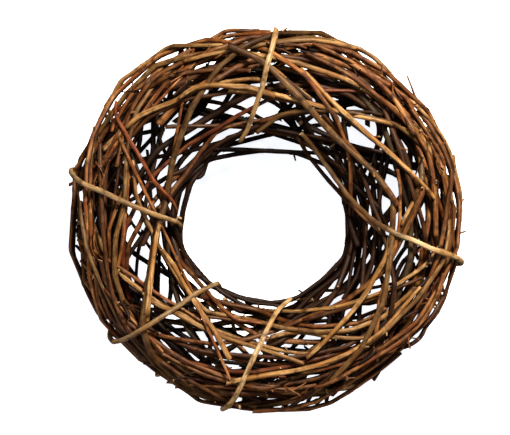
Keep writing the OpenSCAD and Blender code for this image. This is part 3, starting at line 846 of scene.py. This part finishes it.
# Shoots that can be told apart on the front, from the outline inwards: thickness in mm, levels of the two
# ends, from 1 on top of the bundle to -1 at its underside, and points x, y in mm
OUTLINE_OCHRE = (
    (4.2, 0.6, 0.6, ((-8, 133), (-38, 132), (-60, 132), (-76, 133), (-92, 120), (-111, 107), (-121, 89),
     (-128, 73), (-132, 60), (-133, 40), (-133, 15), (-132, -15))),
    (3.4, 0.5, 0.5, ((13, 141), (30, 140), (50, 136), (70, 131), (83, 125), (94, 112), (103, 99),
     (114, 87), (126, 75), (136, 62), (142, 47), (146, 34), (149, 20), (149, 0), (146, -18))),
    (3.6, 0.9, 0.9, ((68, 130), (52, 134), (35, 136), (10, 134), (-15, 129), (-45, 124), (-62, 119))),
    (3.2, 0.5, 0.5, ((143, 50), (146, 25), (147, 5), (144, -20), (141, -42))),
)
OUTLINE_SIENNA = (
    (3.4, 0.9, 0.9, ((8, 137), (-12, 139), (-30, 131), (-55, 122), (-75, 114), (-88, 104), (-98, 92),
     (-104, 78), (-108, 60), (-112, 40))),
    (3.4, 0.7, 0.7, ((-10, -145), (15, -144), (40, -137), (60, -125), (80, -112), (98, -98))),
    (3.4, 0.4, 0.4, ((3, 143), (-28, 146), (-42, 138), (-60, 126), (-75, 114), (-92, 101))),
    (3.4, 0.5, 0.5, ((-130, 70), (-135, 56), (-141, 44), (-147, 38), (-146, 22), (-148, 0), (-150, -22),
     (-143, -38), (-137, -55), (-128, -72), (-118, -84))),
    (3.2, 0.4, 0.4, ((-119, -82), (-118, -87), (-108, -92), (-98, -103), (-86, -114), (-70, -124),
     (-58, -132), (-50, -139), (-30, -142), (-8, -145))),
    (3.4, 0.4, 0.4, ((-8, -144), (12, -145), (35, -144), (50, -141), (62, -132), (76, -122), (90, -112),
     (103, -101))),
    (3.2, 0.3, 0.3, ((143, -32), (140, -48), (138, -60), (130, -72), (121, -82), (118, -92), (111, -98),
     (103, -100), (98, -96))),
    (3.2, 0.6, 0.8, ((128, -55), (134, -42), (139, -20), (138, 5), (134, 30), (128, 48), (118, 70))),
    (3.0, 0.7, 0.7, ((100, -100), (110, -88), (120, -72), (128, -58), (134, -45), (140, -32))),
    (2.4, 0.3, 0.3, ((-151, 27), (-144, 30), (-134, 30), (-124, 38))),
    (1.9, 0.2, 0.3, ((108, 111), (112, 101), (114, 92), (122, 84), (129, 75))),
    (2.2, 0.2, 0.3, ((52, 138), (62, 135), (74, 130), (86, 121), (96, 112))),
)
FRONT_OCHRE = (
    (3.8, 0.9, 1.0, ((25, 113), (35, 104), (45, 94), (55, 84), (66, 73), (78, 62), (90, 52), (100, 43),
     (110, 34), (120, 24), (126, 16))),
    (3.6, 0.9, 0.9, ((-28, 97), (0, 95), (15, 92), (30, 88), (50, 82), (68, 77), (85, 73), (96, 71),
     (106, 67), (116, 62))),
    (3.2, 0.9, 0.8, ((-6, 121), (10, 110), (22, 99), (34, 90))),
    (3.8, 1.0, 0.9, ((-78, -22), (-70, -33), (-61, -50), (-52, -65), (-40, -80), (-34, -92), (-27, -104))),
    (4.2, 1.0, 0.9, ((-80, -3), (-83, -20), (-86, -40), (-88, -60), (-90, -76))),
    (3.4, 0.8, 0.9, ((-88, -60), (-66, -71), (-40, -85), (-13, -94), (8, -100), (28, -107))),
    (3.6, 0.9, 0.9, ((30, -103), (45, -88), (55, -78), (65, -68), (75, -55), (83, -42), (90, -29),
     (93, -12))),
    (3.6, 0.9, 0.9, ((-30, -122), (0, -116), (20, -113), (40, -108), (60, -100), (78, -90), (92, -78),
     (105, -62), (115, -50))),
    (3.2, 0.9, 0.9, ((100, -4), (108, 12), (119, 24))),
    (4.4, 1.0, 1.0, ((-65, 91), (-55, 98), (-47, 102), (-36, 102), (-24, 100), (-8, 98), (6, 93))),
    (3.8, 0.9, 0.9, ((-122, 53), (-110, 65), (-95, 78), (-80, 84), (-68, 88), (-57, 96), (-44, 101),
     (-30, 103), (-12, 106), (0, 104))),
    (3.4, 0.8, 0.8, ((3, -88), (18, -84), (30, -83), (45, -87), (60, -89), (80, -88))),
)
FRONT_SIENNA = (
    (3.4, 0.8, 0.8, ((-68, -28), (-58, -39), (-48, -51), (-36, -65), (-23, -75), (0, -78))),
    (3.4, 0.9, 0.9, ((-125, 58), (-124, 20), (-122, -10), (-119, -40), (-113, -65), (-105, -80))),
    (3.6, 0.9, 0.9, ((30, 125), (50, 116), (65, 107), (75, 99), (90, 87), (103, 75), (115, 64), (122, 50),
     (125, 34), (127, 10), (127, -12))),
    (3.4, 0.8, 0.8, ((35, 133), (50, 126), (65, 119), (80, 110), (95, 101), (105, 93), (112, 83),
     (118, 70), (124, 60), (131, 45), (136, 28), (140, 8))),
    (3.6, 0.8, 0.9, ((-5, 74), (15, 80), (28, 83), (38, 83), (47, 76), (54, 66), (61, 58), (70, 47),
     (80, 36), (90, 23), (98, 11))),
    (3.2, 0.9, 0.8, ((98, 38), (100, 20), (99, 0), (95, -22), (91, -40), (87, -56), (84, -72), (82, -86))),
    (3.6, 0.9, 0.9, ((-124, -30), (-120, -46), (-113, -62), (-107, -77), (-98, -90), (-82, -104),
     (-65, -117), (-50, -125), (-35, -134), (-20, -141))),
    (3.6, 0.8, 0.8, ((-130, -28), (-126, -54), (-118, -72), (-108, -83), (-97, -91), (-82, -99),
     (-64, -108), (-45, -117), (-28, -122), (-8, -126), (15, -128), (38, -124))),
    (3.6, 0.9, 0.9, ((36, -126), (55, -119), (75, -107), (94, -96), (110, -85), (121, -72), (129, -56),
     (134, -40))),
    (3.4, 0.7, 0.8, ((-5, -85), (15, -79), (40, -72), (60, -66), (80, -60), (97, -52), (117, -43))),
    (3.4, 0.8, 0.8, ((-132, 40), (-132, 5), (-131, -30), (-127, -60), (-120, -75))),
    (3.4, 0.8, 0.7, ((4, 77), (-15, 74), (-35, 68), (-50, 51), (-61, 34), (-72, 20), (-81, 8))),
    (3.2, 0.8, 0.8, ((-104, 62), (-104, 20), (-106, -10), (-111, -36), (-118, -52))),
    (3.2, 0.7, 0.7, ((-60, -98), (-35, -103), (0, -107), (32, -108), (62, -106), (82, -99))),
    (3.4, 0.6, 0.6, ((22, 67), (31, 50), (45, 34), (60, 16), (72, 4), (87, -9))),
)
INNER_UMBER = (
    (3.4, 0.3, 0.3, ((-46, 54), (-20, 54), (10, 53), (40, 51), (62, 50))),
    (4.0, 0.2, 0.2, ((-66, -8), (-64, 10), (-58, 30), (-45, 46), (-28, 59), (-8, 70), (15, 67))),
    (3.6, 0.0, 0.0, ((62, 58), (61, 30), (62, 0), (62, -30), (50, -40), (33, -54), (25, -60), (0, -63),
     (-16, -64))),
    (3.4, 0.3, 0.3, ((66, 16), (67, 0), (66, -20), (63, -36), (50, -46), (35, -57), (20, -72), (2, -84))),
    (3.4, 0.2, 0.2, ((-66, 2), (-65, -26), (-56, -40), (-42, -50), (-26, -58), (-10, -64), (6, -66),
     (22, -73))),
    (3.6, 0.6, 0.6, ((-8, 71), (15, 67), (35, 63), (55, 60), (70, 55), (88, 51))),
    (4.0, 0.4, 0.4, ((22, 64), (38, 55), (50, 42), (58, 25), (62, 5), (70, -20))),
    (3.6, 0.4, 0.4, ((64, 48), (72, 20), (76, 0), (75, -25), (69, -45), (58, -60))),
    (3.6, 0.5, 0.5, ((70, 38), (76, 24), (82, 8), (83, -10), (81, -35), (72, -52))),
    (3.4, 0.5, 0.5, ((78, 90), (84, 74), (91, 62), (95, 50), (98, 38), (104, 20), (110, 5))),
    (3.2, 0.2, 0.2, ((-72, 30), (-62, 34), (-50, 30), (-45, 46))),
    (3.6, 0.1, 0.1, ((-70, -20), (-60, -34), (-50, -44), (-36, -56), (-20, -66), (0, -72), (22, -70))),
)

# Shoots deeper in the bundle, which are seen between the others
DEEP_LEFT = (
    (4.0, 0.3, -0.2, ((-90, 108), (-95, 80), (-98, 50), (-110, 20))),
    (3.6, 0.2, 0.2, ((-75, 112), (-88, 78), (-86, 55), (-92, 30))),
    (3.4, 0.5, 0.3, ((-78, 104), (-84, 76), (-80, 56), (-70, 40))),
    (4.4, 0.0, -0.3, ((-45, 112), (-62, 82), (-76, 50), (-95, 20))),
    (4.0, 0.3, 0.1, ((-52, 124), (-59, 110), (-64, 92), (-66, 70), (-62, 50))),
    (3.4, 0.5, 0.4, ((-20, 128), (-28, 116), (-38, 100), (-50, 88), (-70, 74))),
    (4.2, 0.1, -0.2, ((-14, 118), (-28, 97), (-38, 80), (-48, 62))),
    (4.0, 0.2, 0.0, ((-90, 92), (-70, 86), (-48, 81), (-20, 76), (0, 73), (20, 66))),
    (3.6, -0.3, -0.3, ((-112, 42), (-85, 50), (-60, 53), (-35, 60), (-10, 68))),
    (3.8, 0.4, 0.2, ((-120, 66), (-105, 74), (-80, 82), (-58, 96), (-30, 110), (0, 112))),
    (3.8, 0.3, 0.1, ((-128, 50), (-112, 34), (-98, 18), (-88, 2), (-70, -20))),
    (3.6, 0.0, 0.2, ((-104, 52), (-95, 30), (-88, 12), (-78, -8), (-70, -32))),
    (3.4, 0.4, 0.4, ((-122, 10), (-108, 12), (-92, 20), (-74, 36), (-60, 42))),
    (3.6, 0.3, 0.2, ((-122, -30), (-110, -8), (-108, 14), (-112, 40))),
    (3.4, 0.5, 0.6, ((-112, -44), (-103, -24), (-92, -10), (-84, 4))),
    (2.8, -0.3, -0.3, ((-95, -8), (-98, -25), (-100, -50), (-104, -70))),
    (4.0, 0.1, 0.1, ((-82, 10), (-84, -22), (-92, -50), (-104, -72))),
    (3.8, 0.5, 0.3, ((-132, -34), (-112, -45), (-96, -56), (-78, -66), (-50, -64), (-26, -64))),
    (3.6, 0.0, 0.0, ((-72, -10), (-75, -30), (-75, -62), (-84, -88))),
    (3.6, -0.2, -0.2, ((-82, -20), (-84, -62), (-78, -90), (-60, -110))),
    (4.0, 0.2, 0.2, ((-112, -62), (-90, -84), (-66, -95), (-40, -100), (-10, -104))),
    (4.0, -0.2, -0.2, ((-106, -84), (-84, -72), (-60, -70), (-30, -72), (0, -84))),
    (3.6, 0.3, 0.1, ((-62, -60), (-56, -82), (-50, -100), (-40, -120))),
    (3.6, 0.3, 0.1, ((-44, -66), (-42, -92), (-44, -112))),
    (3.6, 0.2, 0.2, ((-68, 75), (-52, 83), (-43, 93), (-34, 106))),
    (3.6, 0.0, 0.0, ((-60, 76), (-48, 84), (-44, 92), (-40, 104))),
    (3.6, 0.1, 0.2, ((-70, 54), (-58, 61), (-48, 68), (-34, 76), (-16, 78))),
)
DEEP_RIGHT = (
    (4.0, 0.3, 0.0, ((2, 104), (12, 90), (20, 76), (26, 62))),
    (4.0, 0.3, 0.1, ((14, 108), (24, 88), (32, 70), (42, 54), (54, 36))),
    (3.8, 0.4, 0.3, ((20, 112), (40, 100), (60, 97), (84, 98), (100, 92))),
    (3.6, 0.2, 0.2, ((36, 112), (56, 103), (60, 92), (58, 74), (62, 54))),
    (3.6, 0.1, 0.1, ((28, 74), (62, 88), (86, 92), (106, 90))),
    (3.8, 0.2, 0.1, ((62, 108), (80, 92), (86, 72), (84, 50), (78, 26))),
    (3.6, 0.4, 0.4, ((96, 86), (96, 56), (88, 30), (84, 5), (86, -25))),
    (3.4, -0.1, -0.1, ((40, 62), (66, 58), (88, 48), (108, 42), (124, 40))),
    (3.8, 0.3, 0.2, ((112, 64), (106, 48), (104, 26), (110, 8), (106, -20))),
    (3.4, 0.2, 0.2, ((122, 42), (104, 44), (100, 58), (96, 76))),
    (3.6, 0.0, 0.0, ((110, 46), (112, 24), (102, 8), (90, -6), (78, -24))),
    (3.4, 0.2, 0.2, ((124, 32), (108, 26), (103, 6), (106, -12), (116, -30))),
    (3.8, 0.2, 0.1, ((84, 10), (88, -14), (86, -34), (78, -56))),
    (3.8, 0.3, 0.2, ((120, -6), (104, -22), (96, -36), (100, -56), (92, -76))),
    (3.4, 0.4, 0.4, ((122, -18), (104, -30), (96, -54), (98, -74))),
    (3.6, 0.1, 0.0, ((112, -32), (114, -52), (104, -70), (90, -92))),
    (3.6, 0.2, 0.2, ((86, -24), (72, -44), (60, -54), (44, -60), (30, -72), (10, -82))),
    (3.4, 0.0, 0.0, ((64, -48), (70, -62), (72, -76), (80, -92))),
    (3.6, 0.1, 0.1, ((64, -60), (46, -70), (44, -90), (50, -108))),
    (3.6, -0.1, -0.1, ((24, -60), (40, -72), (62, -80), (88, -82), (104, -76))),
    (4.0, 0.0, 0.0, ((2, -98), (18, -86), (44, -72), (60, -72), (76, -54))),
    (4.0, 0.3, 0.1, ((-20, -110), (10, -118), (40, -116), (64, -110), (84, -98))),
    (4.0, 0.3, 0.1, ((-40, -118), (-8, -112), (20, -122), (50, -126))),
    (3.8, 0.1, 0.1, ((0, -94), (14, -90), (20, -76), (40, -68))),
    (4.0, 0.2, 0.1, ((86, 70), (84, 50), (80, 34), (84, 10), (82, -10))),
    (3.6, 0.3, 0.2, ((92, 60), (88, 46), (86, 28), (87, 8), (98, -12))),
    (3.4, 0.3, 0.3, ((108, 66), (110, 46), (107, 28), (109, 10), (112, -10))),
    (3.6, 0.2, 0.2, ((62, 48), (68, 40), (78, 30), (88, 22), (102, 12))),
    (3.6, 0.4, 0.3, ((48, 104), (60, 99), (76, 94), (92, 84), (108, 72))),
    (3.8, 0.5, 0.4, ((10, 116), (30, 108), (52, 102), (66, 96), (80, 84), (92, 70))),
    (3.6, 0.2, 0.0, ((0, 78), (14, 82), (22, 92), (34, 104), (50, 112))),
    (3.6, 0.2, 0.2, ((18, 110), (34, 97), (44, 88), (56, 82))),
    (3.6, 0.1, 0.2, ((16, 88), (25, 75), (34, 64), (44, 54))),
    (3.6, 0.2, 0.1, ((26, 74), (38, 68), (48, 65), (62, 54), (72, 44))),
    (3.6, 0.1, 0.1, ((46, 62), (56, 55), (66, 48), (80, 44))),
    (3.6, 0.2, 0.2, ((44, 56), (56, 45), (62, 36), (66, 20))),
    (3.8, 0.1, 0.3, ((90, -108), (112, -84), (127, -56), (136, -26), (138, 0))),
    (3.8, 0.4, 0.1, ((84, -106), (106, -84), (121, -58), (130, -30), (132, 0))),
    (3.8, 0.0, 0.0, ((60, -126), (88, -106), (110, -80), (122, -54), (130, -20))),
    (3.8, 0.3, 0.2, ((34, 134), (66, 120), (94, 98), (114, 74), (126, 48))),
    (3.8, 0.0, 0.0, ((54, 124), (86, 102), (108, 78), (122, 50), (130, 22))),
)

# Ranges of a wound shoot's distance from the ring's axis, of its thickness, and of its level in the bundle
OUTER = (112 * MM, 141 * MM)
INNER = (64 * MM, 76 * MM)
MIDDLE = (66 * MM, 132 * MM)
THIN = (1.8 * MM, 3.0 * MM)
THICK = (2.8 * MM, 4.2 * MM)
FRONT = (0.75, 1.0)
DEEP = (-0.4, 0.55)
BACK = (-1.0, -0.5)

placed_shoots("shoots_outline_ochre", "bark_ochre", 31, OUTLINE_OCHRE)
placed_shoots("shoots_outline_sienna", "bark_sienna", 32, OUTLINE_SIENNA)
placed_shoots("shoots_inner_umber", "bark_umber", 33, INNER_UMBER)
placed_shoots("shoots_deep_left", "bark_umber", 36, DEEP_LEFT)
placed_shoots("shoots_deep_right", "bark_umber", 37, DEEP_RIGHT)
placed_shoots("shoots_front_sienna", "bark_sienna", 34, FRONT_SIENNA)
placed_shoots("shoots_front_ochre", "bark_ochre", 35, FRONT_OCHRE)
wound_shoots("shoots_core_umber", 18, "bark_umber", 41, MIDDLE, THICK, DEEP)
wound_shoots("shoots_core_grey", 8, "bark_grey", 42, MIDDLE, THICK, DEEP)
wound_shoots("shoots_back_umber", 12, "bark_umber", 43, MIDDLE, THICK, BACK)
wound_shoots("shoots_back_sienna", 12, "bark_sienna", 44, MIDDLE, THICK, BACK)
wound_shoots("shoots_hole_umber", 7, "bark_umber", 45, INNER, THICK, (-0.8, 0.6))
wound_shoots("shoots_outer_sienna", 10, "bark_sienna", 46, OUTER, THIN, (0.3, 1.0))
wound_shoots("shoots_outer_umber", 20, "bark_umber", 47, OUTER, THICK, (-0.2, 0.95))
wound_shoots("shoots_outer_back", 16, "bark_umber", 50, OUTER, THICK, (-1.0, -0.3))
wound_shoots("shoots_outer_russet", 13, "bark_russet", 48, OUTER, THIN, (0.3, 1.0))
wound_shoots("shoots_front_thin", 8, "bark_sienna", 49, MIDDLE, THIN, FRONT)
frayed_twigs("twigs_sienna", "bark_sienna", 51, (
    (-103, 93), (-62, 108), (-30, 124), (16, 132), (78, 113), (88, 106), (99, 94), (108, 86), (114, 73),
    (120, 62), (127, 42), (130, 22), (124, -58), (104, -88), (60, -116), (22, -126), (-118, 36),
    (-130, -18)))
frayed_twigs("twigs_umber", "bark_umber", 52, (
    (-97, 92), (-60, 98), (2, 132), (34, 124), (68, 106), (102, 76), (118, 40), (123, -30), (108, -68),
    (78, -100), (44, -120), (8, -126), (-60, -114), (-106, -66), (-128, 20), (-112, 50)))


# --- Floor, light and camera ---

FLOOR_HALF = 3.0
FLOOR_GLOW = 0.94

# Strength of the world's light below and above the horizon, and where it goes over from one to the other
WORLD_BELOW = 0.05
WORLD_ABOVE = 0.07
HORIZON = (-0.08, 0.02)


def floor():
    """A plain pale floor under the wreath."""
    mesh = bpy.data.meshes.new("floor")
    corners = [(x * FLOOR_HALF, y * FLOOR_HALF, 0) for x, y in ((-1, -1), (1, -1), (1, 1), (-1, 1))]
    mesh.from_pydata(corners, [], [(0, 1, 2, 3)])
    g = Graph("floor")
    g.plug(g.shader.inputs["Base Color"], (0.85, 0.85, 0.85, 1))
    g.plug(g.shader.inputs["Roughness"], 0.9)
    g.plug(g.shader.inputs["Emission Color"], (0.92, 0.945, 1.0, 1))
    g.plug(g.shader.inputs["Emission Strength"], FLOOR_GLOW)
    mesh.materials.append(g.material)
    obj = bpy.data.objects.new("floor", mesh)
    obj.visible_diffuse = False
    obj.visible_glossy = False
    bpy.context.scene.collection.objects.link(obj)


def world():
    """Even pale light from all round above, and a dim one from below."""
    w = bpy.data.worlds.new("studio")
    w.use_nodes = True
    nodes, links = w.node_tree.nodes, w.node_tree.links
    where = nodes.new("ShaderNodeTexCoord")
    split = nodes.new("ShaderNodeSeparateXYZ")
    up = nodes.new("ShaderNodeMapRange")
    ends = (*HORIZON, WORLD_BELOW, WORLD_ABOVE)
    for label, number in zip(("From Min", "From Max", "To Min", "To Max"), ends):
        up.inputs[label].default_value = number
    links.new(where.outputs["Generated"], split.inputs[0])
    links.new(split.outputs["Z"], up.inputs["Value"])
    links.new(up.outputs["Result"], nodes["Background"].inputs["Strength"])
    nodes["Background"].inputs["Color"].default_value = (0.96, 0.98, 1.0, 1)
    bpy.context.scene.world = w


SUNLIGHT = (1.0, 0.95, 0.86)
LAMPLIGHT = (1.0, 0.97, 0.94)


def area_light(name, place, aim, size, power, colour):
    """A soft square light."""
    light = bpy.data.lights.new(name, "AREA")
    light.size = size
    light.energy = power
    light.color = colour
    obj = bpy.data.objects.new(name, light)
    obj.location = place
    obj.rotation_mode = "QUATERNION"
    obj.rotation_quaternion = (Vector(aim) - Vector(place)).to_track_quat("-Z", "Y")
    bpy.context.scene.collection.objects.link(obj)


# Width of what the picture shows at the ring's height, its middle, and the camera's height over the ring
PICTURE_WIDTH = 391 * MM
PICTURE_MIDDLE = (-8.5 * MM, 1.9 * MM)
CAMERA_HEIGHT = 1.6
SENSOR = 36.0


def camera():
    """Straight above the wreath, with the ring a little right of the picture's middle."""
    data = bpy.data.cameras.new("camera")
    data.sensor_width = SENSOR
    data.lens = SENSOR * CAMERA_HEIGHT / PICTURE_WIDTH
    obj = bpy.data.objects.new("camera", data)
    obj.location = (*PICTURE_MIDDLE, RING_CENTRE[2] + CAMERA_HEIGHT)
    bpy.context.scene.collection.objects.link(obj)
    bpy.context.scene.camera = obj


floor()
world()
area_light("key", (0.4, 0.85, 1.15), (0, 0, 0), 0.3, 58, SUNLIGHT)
area_light("fill", (-0.4, 0.2, 1.5), (0, 0, 0), 0.8, 4, LAMPLIGHT)
area_light("low_left", (-1.2, -0.9, 0.45), (0, 0, 0.05), 0.6, 9, LAMPLIGHT)
area_light("low_right", (1.3, -0.7, 0.45), (0, 0, 0.05), 0.6, 5.5, LAMPLIGHT)
camera()
bpy.context.scene.view_settings.view_transform = "Standard"
